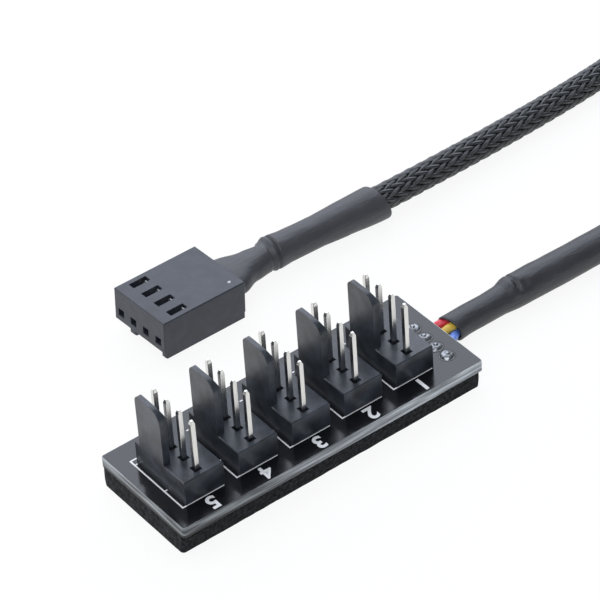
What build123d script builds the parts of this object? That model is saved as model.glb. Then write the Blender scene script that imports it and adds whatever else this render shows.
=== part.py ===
from build123d import *
import os
from math import radians, tan

# Fan hub: a small circuit board on a foam pad, with a row of five four-pin fan headers and one lead that
# ends in a four-way connector. Millimetres, +Z up. The origin is under the middle of the board, level with
# the pad's underside. +X runs along the row of headers to the end where the lead leaves, +Y from the printed
# edge of the board to its back edge.

# Board and pad
BOARD_LENGTH = 46.5
BOARD_WIDTH = 17.2
BOARD_THICKNESS = 1.6
BOARD_CORNER = 0.4
PAD_THICKNESS = 3.0
PAD_FRONT_INSET = 0.6
PAD_CORNER = 0.8
BOARD_TOP = PAD_THICKNESS + BOARD_THICKNESS
BOARD_END = BOARD_LENGTH / 2

# Headers
HEADER_COUNT = 5
HEADER_PITCH = 8.12
FIRST_HEADER_X = BOARD_END - 8.57
PIN_COUNT = 4
PIN_PITCH = 2.54
PIN_ROW_Y = -0.4
PIN_SIZE = 0.64
PIN_RISE = 11.3
PIN_TAIL = 1.5
PIN_TAPER = 0.5
BASE_LENGTH = PIN_COUNT * PIN_PITCH
BASE_BACK = 2.72
BASE_FRONT = 3.13
BASE_HEIGHT = 3.6
BASE_EDGE = 0.12
POCKET_SIZE = 1.15
POCKET_DEPTH = 0.5

# Friction wall of a header, which two ribs of a plug straddle
WALL_WIDTH = 5.0
WALL_OFFSET = 1.55
WALL_TOP = 11.85
WALL_THICKNESS = 1.0
WALL_TIP = 0.62
WALL_FRONT_CORNER = 2.0
WALL_BACK_CORNER = 1.0
LIP_REACH = 0.2
LIP_TOP = 10.5
LIP_BOTTOM = 9.5

# Solder
HOLE_RADIUS = 0.5
JOINT_FOOT = 0.9
JOINT_TIP = 0.45
JOINT_HEIGHT = 1.1
DOME_FOOT = 0.85
DOME_TIP = 0.45
DOME_HEIGHT = 0.6
DOME_EDGE = 0.2
JOINT_CLEARANCE = 0.3

# Wires of the lead at the board
WIRE_RADIUS = 0.59
CONDUCTOR_RADIUS = 0.25
CONDUCTOR_BEND = 0.4
STRIPPED_LENGTH = 0.9
STRIPPED_OVERLAP = 0.6
BUNDLE_REACH = 0.85
WIRE_JOINT_X = BOARD_END - 2.75
WIRE_JOINT_PITCH = 2.3
FIRST_WIRE_JOINT_Y = 2.0
WIRE_BEND = 0.6
WIRE_LEVELS = {"red": 2.31, "yellow": 2.35, "blue": 2.25, "black": 0.75}
GATHER_X = BOARD_END + 0.95
GATHERED_X = BOARD_END + 2.15
NOTCH_LENGTH = 4.0
NOTCH_YS = (-6.2, 4.2)

# Heat-shrink sleeve at the board
LEAD_Y = 1.1
LEAD_Z = 2.3
WIRE_BORE = BUNDLE_REACH + WIRE_RADIUS + 0.02
BOARD_SHRINK_MOUTH_X = BOARD_END + 2.45
BOARD_SHRINK_NECK = 1.87
BOARD_SHRINK_STEP_X = 34.2
BOARD_SHRINK_STEP = 0.8
BOARD_SHRINK_WIDE = 2.3
BOARD_SHRINK_END_X = 57.0
SHRINK_EDGE = 0.1

# Braided sleeve: the route of its middle line, from the board's end of the lead to the connector's
SLEEVE_RADIUS = 1.93
ROUTE = [
    (35.2, 1.1, 2.3),
    (60.0, 1.1, 2.3),
    (85.0, -1.2, 1.97),
    (100.0, -4.4, 1.97),
    (113.5, -7.4, 1.97),
    (129.4, -7.6, 1.97),
    (141.4, 1.6, 1.97),
    (145.9, 16.3, 1.97),
    (140.2, 30.6, 1.97),
    (127.4, 38.6, 1.97),
    (111.0, 37.0, 1.97),
    (91.5, 31.3, 1.97),
    (69.0, 28.35, 1.97),
    (34.8, 27.1, 2.65),
    (18.2, 27.9, 2.65),
]

# Connector, in its own frame: +X to its rear, the origin on the floor below the middle of its rear face
HOUSING_LENGTH = 13.4
HOUSING_WIDTH = 10.3
HOUSING_HEIGHT = 4.92
HOUSING_EDGE = 0.12
RIB_HEIGHT = 0.95
RIB_THICKNESS = 0.85
RIB_GAP = 5.7
RIB_LEAD = 0.35
FRONT_WALL = 1.0
SOCKET_SIZE = 1.15
SOCKET_Z = RIB_HEIGHT + 1.5
CAVITY_WIDTH = 1.9
CAVITY_BOTTOM = RIB_HEIGHT + 0.5
CAVITY_TOP = RIB_HEIGHT + 3.4
WINDOW_WIDTH = 1.05
WINDOW_LENGTH = 2.7
WINDOW_FROM_FRONT = 1.85
PLUG_X = 8.75
PLUG_Y = 27.38
PLUG_YAW = 2.8
PLUG_NOSE_UP = 3.0
PLUG = Pos(PLUG_X, PLUG_Y, 0) * Rot(0, 0, PLUG_YAW) * Rot(0, PLUG_NOSE_UP, 0)

# Crimp terminals
CONTACT_GAP = 0.1
CONTACT_LENGTH = 5.2
CONTACT_WIDTH = 1.6
CONTACT_WALL = 0.25
TANG_WIDTH = 0.75
TANG_THICKNESS = 0.22
TANG_REACH = 2.1
TANG_BELOW_TOP = 0.4
CRIMP_WALL = 0.2
CRIMP_GAP = 0.9
CRIMP_LENGTH = 3.0

# Heat-shrink sleeve at the connector: flat behind the housing, a round neck, then wider over the braid
SHRINK_WALL = 0.3
SKIRT_Z = 2.9
SKIRT_START = (4.95, 1.65)
SKIRT_WAIST = (3.4, 1.75)
SKIRT_WAIST_X = 1.6
GATHER_SHARE = 0.62
GATHER_FROM_REAR = 0.2
PLUG_SHRINK_NECK = 2.02
PLUG_SHRINK_NECK_POINT = (16.1, 27.45, 2.85)
PLUG_SHRINK_WIDE = 2.5
PLUG_SHRINK_WIDE_X = 17.7
PLUG_SHRINK_MOUTH = 2.62
PLUG_SHRINK_MOUTH_X = 34.6
MOUTH_LENGTH = 2.5
MOUTH_WALL = 0.35


def header_x(number):
    """Middle of the pin row of header 1 to 5; header 1 is beside the lead."""
    return FIRST_HEADER_X - (number - 1) * HEADER_PITCH


def pin_offset(number):
    """Place of pin or socket 1 to 4 from the middle of its row; 1 is nearest +Y."""
    return ((PIN_COUNT + 1) / 2 - number) * PIN_PITCH


def wire_joint_y(number):
    """Place of the solder joint of wire 1 to 4 along the end of the board."""
    return FIRST_WIRE_JOINT_Y - (number - 1) * WIRE_JOINT_PITCH


def block(x0, x1, y0, y1, z0, z1):
    """Box between three pairs of limits."""
    return Pos((x0 + x1) / 2, (y0 + y1) / 2, (z0 + z1) / 2) * Box(x1 - x0, y1 - y0, z1 - z0)


def between(start, end, x):
    """Point at x on the straight line through two points."""
    share = (x - start[0]) / (end[0] - start[0])
    return tuple(a + share * (b - a) for a, b in zip(start, end))


def across(point):
    """Plane across the lead at a point, with its own x along +Y and its own y along +Z."""
    return Plane(origin=point, x_dir=(0, 1, 0), z_dir=(1, 0, 0))


def rounded_slab(length, width, thickness, corner, bottom):
    """Flat plate with rounded corners."""
    return Pos(0, 0, bottom) * extrude(RectangleRounded(length, width, corner), thickness)


def arc_radii(points):
    """Radius of the arc at each corner of a route: as large as the two runs beside it allow."""
    radii = []
    for before, here, after in zip(points, points[1:], points[2:]):
        arriving = Vector(*here) - Vector(*before)
        leaving = Vector(*after) - Vector(*here)
        turn = radians(arriving.get_angle(leaving))
        radii.append(0.45 * min(arriving.length, leaving.length) / tan(turn / 2))
    return radii


def round_bar(points, radius, bends):
    """Round bar along straight runs joined by arcs of the given radii."""
    path = FilletPolyline(*points, radius=bends)
    return sweep(Plane(origin=path @ 0, z_dir=path % 0) * Circle(radius), path=path)


def circuit_board():
    """Board with a hole for each header pin and each wire."""
    board = rounded_slab(BOARD_LENGTH, BOARD_WIDTH, BOARD_THICKNESS, BOARD_CORNER, PAD_THICKNESS)
    pins = range(1, PIN_COUNT + 1)
    places = [(header_x(h), PIN_ROW_Y + pin_offset(p)) for h in range(1, HEADER_COUNT + 1) for p in pins]
    places += [(WIRE_JOINT_X, wire_joint_y(number)) for number in pins]
    for x, y in places:
        board -= Pos(x, y, PAD_THICKNESS + BOARD_THICKNESS / 2) * Cylinder(HOLE_RADIUS, BOARD_THICKNESS)
    return board


def foam_pad():
    """Adhesive foam with a slot over each row of solder joints and a notch where the wires leave."""
    width = BOARD_WIDTH - PAD_FRONT_INSET
    pad = Pos(0, PAD_FRONT_INSET / 2) * rounded_slab(BOARD_LENGTH, width, PAD_THICKNESS, PAD_CORNER, 0)
    half_width = JOINT_FOOT + JOINT_CLEARANCE
    half_length = pin_offset(1) + half_width
    for number in range(1, HEADER_COUNT + 1):
        x = header_x(number)
        pad -= block(x - half_width, x + half_width, PIN_ROW_Y - half_length, PIN_ROW_Y + half_length,
                     PAD_THICKNESS - PIN_TAIL - JOINT_CLEARANCE, PAD_THICKNESS)
    pad -= block(BOARD_END - NOTCH_LENGTH, BOARD_END, *NOTCH_YS, 0, PAD_THICKNESS)
    return pad


def friction_wall():
    """Upright wall of a header: rounded top corners, and a lead-in slope over a lip on its inner side."""
    full = WALL_THICKNESS + LIP_REACH
    side = make_face(Polyline(
        (0, 0), (0, WALL_TOP), (WALL_TIP, WALL_TOP), (full, LIP_TOP), (full, (LIP_TOP + LIP_BOTTOM) / 2),
        (WALL_THICKNESS, LIP_BOTTOM), (WALL_THICKNESS, 0), close=True))
    back = WALL_OFFSET + WALL_WIDTH / 2
    seen_from_front = Plane(origin=(-BASE_BACK, back, 0), x_dir=(1, 0, 0), z_dir=(0, -1, 0))
    seen_from_side = Plane(origin=(-BASE_BACK, WALL_OFFSET, 0), x_dir=(0, 1, 0), z_dir=(1, 0, 0))
    outline = seen_from_side * (Pos(0, WALL_TOP / 2) * Rectangle(WALL_WIDTH, WALL_TOP))
    slab = extrude(outline, full)
    front_edge = slab.edges().filter_by(Axis.X).group_by(Axis.Z)[-1].sort_by(Axis.Y)[0]
    slab = fillet(front_edge, WALL_FRONT_CORNER)
    back_edge = slab.edges().filter_by(Axis.X).group_by(Axis.Z)[-1].sort_by(Axis.Y)[-1]
    slab = fillet(back_edge, WALL_BACK_CORNER)
    return extrude(seen_from_front * side, WALL_WIDTH) & slab


def header_housing(number):
    """Moulded header: a low base with a pocket at each pin, and the friction wall along its far side."""
    base = block(-BASE_BACK, BASE_FRONT, -BASE_LENGTH / 2, BASE_LENGTH / 2, 0, BASE_HEIGHT)
    base = chamfer(base.faces().sort_by(Axis.Z)[-1].edges(), BASE_EDGE)
    housing = base + friction_wall()
    for pin in range(1, PIN_COUNT + 1):
        y = pin_offset(pin)
        housing -= Pos(0, y, BASE_HEIGHT / 2) * Box(PIN_SIZE, PIN_SIZE, BASE_HEIGHT)
        housing -= Pos(0, y, BASE_HEIGHT - POCKET_DEPTH / 2) * Box(POCKET_SIZE, POCKET_SIZE, POCKET_DEPTH)
    return Pos(header_x(number), PIN_ROW_Y, BOARD_TOP) * housing


def header_pin(header, pin):
    """Square pin with a tapered tip, from below the board to well above the base."""
    top = BOARD_TOP + PIN_RISE
    half = PIN_SIZE / 2
    shank = block(-half, half, -half, half, PAD_THICKNESS - PIN_TAIL, top - PIN_TAPER)
    tip = loft([Pos(0, 0, top - PIN_TAPER) * Rectangle(PIN_SIZE, PIN_SIZE),
                Pos(0, 0, top) * Rectangle(half, half)])
    return Pos(header_x(header), PIN_ROW_Y + pin_offset(pin), 0) * (shank + tip)


def header_solder_joints(number):
    """Solder round the four pins of a header: a cone under the board, with its neck in the hole."""
    neck = Pos(0, 0, PAD_THICKNESS + BOARD_THICKNESS / 2) * Cylinder(HOLE_RADIUS, BOARD_THICKNESS)
    cone = Pos(0, 0, PAD_THICKNESS - JOINT_HEIGHT / 2) * Cone(JOINT_TIP, JOINT_FOOT, JOINT_HEIGHT)
    joint = neck + cone - Pos(0, 0, BOARD_TOP / 2) * Box(PIN_SIZE, PIN_SIZE, BOARD_TOP)
    x = header_x(number)
    return Compound([Pos(x, PIN_ROW_Y + pin_offset(pin), 0) * joint for pin in range(1, PIN_COUNT + 1)])


def wire_solder_joint(number):
    """Solder dome on top of the board, with its neck in the hole round a wire's conductor."""
    neck = Pos(0, 0, PAD_THICKNESS + BOARD_THICKNESS / 2) * Cylinder(HOLE_RADIUS, BOARD_THICKNESS)
    dome = Pos(0, 0, BOARD_TOP + DOME_HEIGHT / 2) * Cone(DOME_FOOT, DOME_TIP, DOME_HEIGHT)
    dome = fillet(dome.edges().sort_by(Axis.Z)[-1], DOME_EDGE)
    joint = neck + dome - Pos(0, 0, BOARD_TOP / 2) * Cylinder(CONDUCTOR_RADIUS, BOARD_TOP)
    return Pos(WIRE_JOINT_X, wire_joint_y(number), 0) * joint


def bundled(point, side):
    """Middle of a wire in the bundle of four round a point: back, top, front or bottom of its diamond."""
    y, z = {"back": (1, 0), "top": (0, 1), "front": (-1, 0), "bottom": (0, -1)}[side]
    return (point[0], point[1] + y * BUNDLE_REACH, point[2] + z * BUNDLE_REACH)


def wire_at_board(joint, level, side):
    """Board end of a wire: bare from its solder joint, then insulated under the board, into the sleeve."""
    y = wire_joint_y(joint)
    start = WIRE_JOINT_X + STRIPPED_LENGTH
    conductor = round_bar(
        [(WIRE_JOINT_X, y, BOARD_TOP), (WIRE_JOINT_X, y, level), (start + STRIPPED_OVERLAP, y, level)],
        CONDUCTOR_RADIUS, CONDUCTOR_BEND)
    gathered = bundled((GATHERED_X, LEAD_Y, LEAD_Z), side)
    gather_y = between((start, y, level), gathered, GATHER_X)[1]
    line = [(start, y, level), (GATHER_X, gather_y, level), gathered, bundled(ROUTE[0], side)]
    insulation = round_bar(line, WIRE_RADIUS, WIRE_BEND)
    return conductor + insulation


def plug_point(x, y, z):
    """Place of a point that is given in the connector's own frame."""
    return tuple((PLUG * Pos(x, y, z)).position)


def crimp_start():
    """Where the crimp of a terminal begins, in the connector's own frame."""
    return -HOUSING_LENGTH + FRONT_WALL + CONTACT_GAP + CONTACT_LENGTH + CRIMP_GAP


def wire_at_plug(socket, side):
    """Connector end of a wire: out of its crimp, in towards the others behind the housing, then bundled."""
    y = pin_offset(socket)
    return round_bar(
        [plug_point(crimp_start(), y, SOCKET_Z), plug_point(-GATHER_FROM_REAR, y, SOCKET_Z),
         plug_point(SKIRT_WAIST_X, GATHER_SHARE * y, SKIRT_Z), bundled(PLUG_SHRINK_NECK_POINT, side),
         bundled(ROUTE[-1], side)],
        WIRE_RADIUS, WIRE_BEND)


def wire(colour, joint, socket, side):
    """One wire of the lead: its two ends, which show outside the braided sleeve."""
    return Compound([wire_at_board(joint, WIRE_LEVELS[colour], side), wire_at_plug(socket, side)])


def connector_housing():
    """Moulded four-way connector: sockets in its front, windows in its top, two ribs below."""
    half = HOUSING_WIDTH / 2
    top = RIB_HEIGHT + HOUSING_HEIGHT
    housing = chamfer(block(-HOUSING_LENGTH, 0, -half, half, RIB_HEIGHT, top).edges(), HOUSING_EDGE)
    far_rib = (-WALL_OFFSET + RIB_GAP / 2, -WALL_OFFSET + RIB_GAP / 2 + RIB_THICKNESS)
    near_rib = (-half + HOUSING_EDGE, -WALL_OFFSET - RIB_GAP / 2)
    for y0, y1 in (far_rib, near_rib):
        rib = block(HOUSING_EDGE - HOUSING_LENGTH, -HOUSING_EDGE, y0, y1, 0, RIB_HEIGHT + HOUSING_EDGE)
        housing += chamfer(rib.faces().sort_by(Axis.X)[0].edges().sort_by(Axis.Z)[0], RIB_LEAD)
    window = WINDOW_FROM_FRONT - HOUSING_LENGTH
    for number in range(1, PIN_COUNT + 1):
        y = pin_offset(number)
        housing -= block(FRONT_WALL - HOUSING_LENGTH, 0, y - CAVITY_WIDTH / 2, y + CAVITY_WIDTH / 2,
                         CAVITY_BOTTOM, CAVITY_TOP)
        socket = Box(FRONT_WALL, SOCKET_SIZE, SOCKET_SIZE)
        housing -= Pos(FRONT_WALL / 2 - HOUSING_LENGTH, y, SOCKET_Z) * socket
        housing -= block(window, window + WINDOW_LENGTH, y - WINDOW_WIDTH / 2, y + WINDOW_WIDTH / 2,
                         CAVITY_TOP, top)
    return PLUG * housing


def crimp_terminal(number):
    """Sheet-metal terminal: a hollow contact box, a locking tang up into the window, a crimp on the wire."""
    front = -HOUSING_LENGTH + FRONT_WALL + CONTACT_GAP
    back = front + CONTACT_LENGTH
    outer = CONTACT_WIDTH / 2
    inner = outer - CONTACT_WALL
    terminal = block(front, back, -outer, outer, -outer, outer)
    terminal -= block(front, back, -inner, inner, -inner, inner)
    tail = (crimp_start(), crimp_start() + CRIMP_LENGTH)
    terminal += block(back - CONTACT_WALL, tail[0] + CONTACT_WALL, -inner, inner, -outer, -inner)
    middle = Pos(sum(tail) / 2, 0, 0) * Rot(0, 90, 0)
    terminal += middle * Cylinder(WIRE_RADIUS + CRIMP_WALL, CRIMP_LENGTH)
    terminal -= middle * Cylinder(WIRE_RADIUS, CRIMP_LENGTH)
    tip_x = WINDOW_FROM_FRONT + WINDOW_LENGTH - HOUSING_LENGTH - CONTACT_GAP
    tip_z = RIB_HEIGHT + HOUSING_HEIGHT - TANG_BELOW_TOP - SOCKET_Z
    side = make_face(Polyline(
        (tip_x - TANG_REACH, inner), (tip_x - TANG_THICKNESS, tip_z), (tip_x, tip_z),
        (tip_x, tip_z - TANG_THICKNESS), (tip_x - TANG_REACH + 2 * TANG_THICKNESS, inner), close=True))
    across_socket = Plane(origin=(0, TANG_WIDTH / 2, 0), x_dir=(1, 0, 0), z_dir=(0, -1, 0))
    terminal += extrude(across_socket * side, TANG_WIDTH)
    return PLUG * Pos(0, pin_offset(number), SOCKET_Z) * terminal


def taper(start, start_radius, end, end_radius):
    """Round length of the lead between two points, with a radius at each."""
    return loft([across(start) * Circle(start_radius), across(end) * Circle(end_radius)], ruled=True)


def board_shrink():
    """Heat-shrink sleeve: narrow over the wires, then a step wider over the end of the braid."""
    mouth = BOARD_SHRINK_MOUTH_X
    end = BOARD_SHRINK_END_X
    neck = BOARD_SHRINK_NECK
    wide = BOARD_SHRINK_WIDE
    braid = ROUTE[0][0]
    side = make_face(Polyline(
        (mouth, WIRE_BORE), (mouth, neck - SHRINK_EDGE), (mouth + SHRINK_EDGE, neck),
        (BOARD_SHRINK_STEP_X, neck),
        (BOARD_SHRINK_STEP_X + BOARD_SHRINK_STEP, wide), (end - SHRINK_EDGE, wide), (end, wide - SHRINK_EDGE),
        (end, SLEEVE_RADIUS), (braid, SLEEVE_RADIUS), (braid, WIRE_BORE), close=True))
    return Pos(0, LEAD_Y, LEAD_Z) * revolve(side, Axis.X)


def skirt(inset):
    """Flat end of the sleeve behind the connector, narrowing to the round neck."""
    start = Ellipse(SKIRT_START[0] - inset, SKIRT_START[1] - inset)
    waist = Ellipse(SKIRT_WAIST[0] - inset, SKIRT_WAIST[1] - inset)
    neck = Ellipse(PLUG_SHRINK_NECK - inset, PLUG_SHRINK_NECK - inset)
    sections = [PLUG * (across((0, 0, SKIRT_Z)) * start),
                PLUG * (across((SKIRT_WAIST_X, 0, SKIRT_Z)) * waist),
                across(PLUG_SHRINK_NECK_POINT) * neck]
    return loft(sections, ruled=True)


def plug_shrink():
    """Heat-shrink sleeve behind the connector, shrunk onto the wires and then onto the braid."""
    neck_point = PLUG_SHRINK_NECK_POINT
    wide_point = between(ROUTE[-2], ROUTE[-1], PLUG_SHRINK_WIDE_X)
    mouth_point = between(ROUTE[-2], ROUTE[-1], PLUG_SHRINK_MOUTH_X)
    throat_point = between(ROUTE[-2], ROUTE[-1], PLUG_SHRINK_MOUTH_X - MOUTH_LENGTH)
    inner_neck = PLUG_SHRINK_NECK - SHRINK_WALL
    step = taper(neck_point, PLUG_SHRINK_NECK, wide_point, PLUG_SHRINK_WIDE)
    wide = taper(wide_point, PLUG_SHRINK_WIDE, mouth_point, PLUG_SHRINK_MOUTH)
    wire_bore = taper(neck_point, inner_neck, ROUTE[-1], inner_neck)
    braid_bore = taper(ROUTE[-1], SLEEVE_RADIUS, throat_point, SLEEVE_RADIUS)
    mouth = taper(throat_point, SLEEVE_RADIUS, mouth_point, PLUG_SHRINK_MOUTH - MOUTH_WALL)
    return skirt(0) + step + wide - skirt(SHRINK_WALL) - wire_bore - braid_bore - mouth


def write(shape, name):
    """One file for one piece."""
    export_step(shape, "parts/" + name + ".step")


os.makedirs("parts", exist_ok=True)
write(circuit_board(), "circuit_board")
write(foam_pad(), "foam_pad")
for header in range(1, HEADER_COUNT + 1):
    write(header_housing(header), "header_%d_housing" % header)
    write(header_solder_joints(header), "header_%d_solder" % header)
    for pin in range(1, PIN_COUNT + 1):
        write(header_pin(header, pin), "header_%d_pin_%d" % (header, pin))
for number in range(1, PIN_COUNT + 1):
    write(wire_solder_joint(number), "wire_joint_%d" % number)
    write(crimp_terminal(number), "crimp_terminal_%d" % number)
write(wire("red", joint=1, socket=1, side="back"), "wire_red")
write(wire("yellow", joint=2, socket=2, side="top"), "wire_yellow")
write(wire("blue", joint=3, socket=4, side="front"), "wire_blue")
write(wire("black", joint=4, socket=3, side="bottom"), "wire_black")
write(board_shrink(), "board_end_heat_shrink")
write(round_bar(ROUTE, SLEEVE_RADIUS, arc_radii(ROUTE)), "braided_sleeve")
write(plug_shrink(), "connector_end_heat_shrink")
write(connector_housing(), "connector_housing")
print("arc radii of the sleeve, mm:", [round(radius, 1) for radius in arc_radii(ROUTE)])
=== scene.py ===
"""Fan hub: a circuit board on a foam pad, with five fan headers and a sleeved lead that ends in a connector.

Metres, +Z up. +X runs along the headers towards the lead, +Y from the printed edge of the board to its back.
"""
import math

import bmesh
import bpy
from mathutils import Matrix, Vector, noise


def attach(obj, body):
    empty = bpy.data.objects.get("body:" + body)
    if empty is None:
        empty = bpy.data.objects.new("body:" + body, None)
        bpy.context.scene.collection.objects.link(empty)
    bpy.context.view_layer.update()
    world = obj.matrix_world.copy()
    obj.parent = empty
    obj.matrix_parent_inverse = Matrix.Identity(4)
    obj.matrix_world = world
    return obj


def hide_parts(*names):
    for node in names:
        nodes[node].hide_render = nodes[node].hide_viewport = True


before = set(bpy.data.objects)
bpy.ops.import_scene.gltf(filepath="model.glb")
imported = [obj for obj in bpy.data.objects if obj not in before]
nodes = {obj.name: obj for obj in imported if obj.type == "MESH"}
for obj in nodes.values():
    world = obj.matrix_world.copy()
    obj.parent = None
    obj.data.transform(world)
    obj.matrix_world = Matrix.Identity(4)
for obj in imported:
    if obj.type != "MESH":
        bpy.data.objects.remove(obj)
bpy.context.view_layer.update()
MM = 0.001

# The camera stands in front of the printed edge, to the left and above, with a long lens, as for a catalogue
# picture. It leans a little, and it aims at a point just behind the board.
AIM = Vector((11.188, 12.976, 7.6)) * MM
DISTANCE = 449.72
AZIMUTH, ELEVATION, LEAN = math.radians(-34.953), math.radians(39.879), math.radians(-4.19)
forward = Vector((-math.sin(AZIMUTH) * math.cos(ELEVATION), math.cos(AZIMUTH) * math.cos(ELEVATION),
                  -math.sin(ELEVATION)))
level = forward.cross(Vector((0, 0, 1))).normalized()
upward = level.cross(forward)
right = math.cos(LEAN) * level + math.sin(LEAN) * upward
camera_up = -math.sin(LEAN) * level + math.cos(LEAN) * upward
camera = bpy.data.objects.new("camera", bpy.data.cameras.new("camera"))
camera.data.lens = 212.95
camera.data.sensor_width = 36
camera.data.clip_start = 0.01
camera.matrix_world = (Matrix.Translation(AIM - forward * DISTANCE * MM)
                       @ Matrix((right, camera_up, -forward)).transposed().to_4x4())
bpy.context.collection.objects.link(camera)
bpy.context.scene.camera = camera
bpy.context.scene.view_settings.view_transform = "Standard"


# Studio: one large soft box behind and above, opposite the camera, whose light the faces on top return, a
# weaker one high in front on the left, a small one behind on the left for the edges, and a dim room, so that
# what faces the camera stays dark.
def colour(code):
    """Linear colour with alpha, from an sRGB hex code."""
    parts = [int(code[i:i + 2], 16) / 255 for i in (1, 3, 5)]
    return [p / 12.92 if p <= 0.04045 else ((p + 0.055) / 1.055) ** 2.4 for p in parts] + [1.0]


def add(tree, kind, inputs=(), **settings):
    """Adds a node with its settings; inputs gives a value or a link for a socket, by its name or number."""
    new = tree.nodes.new(kind)
    for name, value in settings.items():
        setattr(new, name, value)
    for socket, value in dict(inputs).items():
        if isinstance(value, bpy.types.NodeSocket):
            tree.links.new(value, new.inputs[socket])
        else:
            new.inputs[socket].default_value = value
    return new


def soft_box(name, azimuth, elevation, distance, size, watts, code):
    """Square lamp of a colour that points at the middle of what the picture shows."""
    middle = Vector((0.02, 0.01, 0))
    lamp = bpy.data.lights.new(name, "AREA")
    lamp.color = colour(code)[:3]
    lamp.size = size
    lamp.energy = watts
    a, e = math.radians(azimuth), math.radians(elevation)
    away = Vector((math.sin(a) * math.cos(e), -math.cos(a) * math.cos(e), math.sin(e)))
    box = bpy.data.objects.new(name, lamp)
    box.matrix_world = (Matrix.Translation(middle + away * distance)
                        @ away.to_track_quat("Z", "Y").to_matrix().to_4x4())
    bpy.context.collection.objects.link(box)


soft_box("back_soft_box", azimuth=148, elevation=48, distance=0.7, size=1.05, watts=8.4, code="#ecf2ff")
soft_box("front_soft_box", azimuth=-45, elevation=50, distance=0.9, size=0.6, watts=3.7, code="#f4f7ff")
soft_box("edge_soft_box", azimuth=-134, elevation=26, distance=0.8, size=0.4, watts=1.4, code="#ffffff")

world = bpy.data.worlds.new("room")
world.use_nodes = True
room = world.node_tree
room.nodes.clear()
seen = add(room, "ShaderNodeLightPath")
room_light = add(room, "ShaderNodeBackground", {"Color": colour("#dfe3e8"), "Strength": 0.22})
room_white = add(room, "ShaderNodeBackground", {"Color": colour("#ffffff"), "Strength": 1.0})
room_mix = add(room, "ShaderNodeMixShader", {0: seen.outputs["Is Camera Ray"], 1: room_light.outputs[0],
                                             2: room_white.outputs[0]})
add(room, "ShaderNodeOutputWorld", {"Surface": room_mix.outputs[0]})
bpy.context.scene.world = world


# Floor: a white sheet under everything, which keeps a faint shadow where the object stands. It lies a hair
# lower than the object, so that the two share no face.
FLOOR_DROP = 0.05
GLOW_SHARE = 0.9


def material(name):
    """New material, its node tree and its object coordinates: a pattern of 2 mm has the scale 1000 / 2."""
    made = bpy.data.materials.new(name)
    made.use_nodes = True
    made.node_tree.nodes.clear()
    place = made.node_tree.nodes.new("ShaderNodeTexCoord").outputs["Object"]
    return made, made.node_tree, place


def into(bm, name, finishes, smooth=False):
    """Object from a bmesh that is in millimetres, with its materials."""
    bmesh.ops.scale(bm, vec=(MM, MM, MM), verts=bm.verts)
    for face in bm.faces:
        face.smooth = smooth
    mesh = bpy.data.meshes.new(name)
    bm.to_mesh(mesh)
    bm.free()
    for finish in finishes:
        mesh.materials.append(finish)
    piece = bpy.data.objects.new(name, mesh)
    bpy.context.collection.objects.link(piece)
    return piece


# White paper: matt. The camera and the shiny pieces see it nearly white, with only a faint shadow left on it.
paper, tree, place = material("white_paper_sheet")
seen = add(tree, "ShaderNodeLightPath")
shown = add(tree, "ShaderNodeMath", {0: seen.outputs["Is Camera Ray"], 1: seen.outputs["Is Glossy Ray"]},
            operation="MAXIMUM")
shown = add(tree, "ShaderNodeMath", {0: shown.outputs[0], 1: seen.outputs["Is Transmission Ray"]},
            operation="MAXIMUM")
shown = add(tree, "ShaderNodeMath", {0: shown.outputs[0], 1: GLOW_SHARE}, operation="MULTIPLY")
sheet = add(tree, "ShaderNodeBsdfDiffuse", {"Color": colour("#f4f4f4")})
glow = add(tree, "ShaderNodeEmission", {"Color": colour("#ffffff"), "Strength": 1.0})
mixed = add(tree, "ShaderNodeMixShader", {0: shown.outputs[0], 1: sheet.outputs[0], 2: glow.outputs[0]})
add(tree, "ShaderNodeOutputMaterial", {"Surface": mixed.outputs[0]})
bm = bmesh.new()
bmesh.ops.create_grid(bm, x_segments=1, y_segments=1, size=2500)
bmesh.ops.translate(bm, vec=(0, 0, -FLOOR_DROP), verts=bm.verts)
floor = into(bm, "floor", [paper])


# Route of the lead: the middle line of its braided sleeve, from the sleeve's end beside the board, out past
# the picture's right edge, round, and back to the connector. Between its two ends it lies on the floor.
ROUTE = [(35.2, 1.1, 2.3), (60.0, 1.1, 2.3), (85.0, -1.2, 1.97), (100.0, -4.4, 1.97), (113.5, -7.4, 1.97),
         (129.4, -7.6, 1.97), (141.4, 1.6, 1.97), (145.9, 16.3, 1.97), (140.2, 30.6, 1.97),
         (127.4, 38.6, 1.97), (111.0, 37.0, 1.97), (91.5, 31.3, 1.97), (69.0, 28.35, 1.97),
         (34.8, 27.1, 2.65), (18.2, 27.9, 2.65)]


def spline(name, *lines, radius=0.0, resolution=40):
    """Curve object with one smooth spline for each list of points in millimetres."""
    curve = bpy.data.curves.new(name, "CURVE")
    curve.dimensions = "3D"
    curve.resolution_u = resolution
    curve.bevel_depth = radius * MM
    curve.bevel_resolution = 5
    curve.use_fill_caps = radius > 0
    for line in lines:
        run = curve.splines.new("NURBS")
        run.points.add(len(line) - 1)
        for point, at in zip(run.points, line):
            point.co = (*(Vector(at) * MM), 1)
        run.order_u = 3
        run.use_endpoint_u = True
    return bpy.data.objects.new(name, curve)


line = spline("route", ROUTE)
route_mesh = bpy.data.meshes.new_from_object(line)
route = [vertex.co / MM for vertex in route_mesh.vertices]
bpy.data.objects.remove(line)


# Braided sleeve: thirty-two flat bundles of three black polyester threads, sixteen each way, braided by a
# machine. Each bundle passes over two of the others, then under two. The tube is pulled tight over the wires,
# so the bundles lie nearly lengthwise.
BUNDLES, THREADS = 16, 3
WEAVE_REPEAT = 2.0
WEAVE_RADIUS = 1.66
WEAVE_RISE, DIVE = 0.15, 1.8
BUNDLE_WIDTH, WIDER_ON_TOP = 0.53, 0.18
CROWN, CROWN_FALL, CROWN_POWER = 0.1, 2.2, 2.5
WANDER, WANDER_LENGTH = 0.07, 3
STEPS_A_REPEAT = 5


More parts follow.
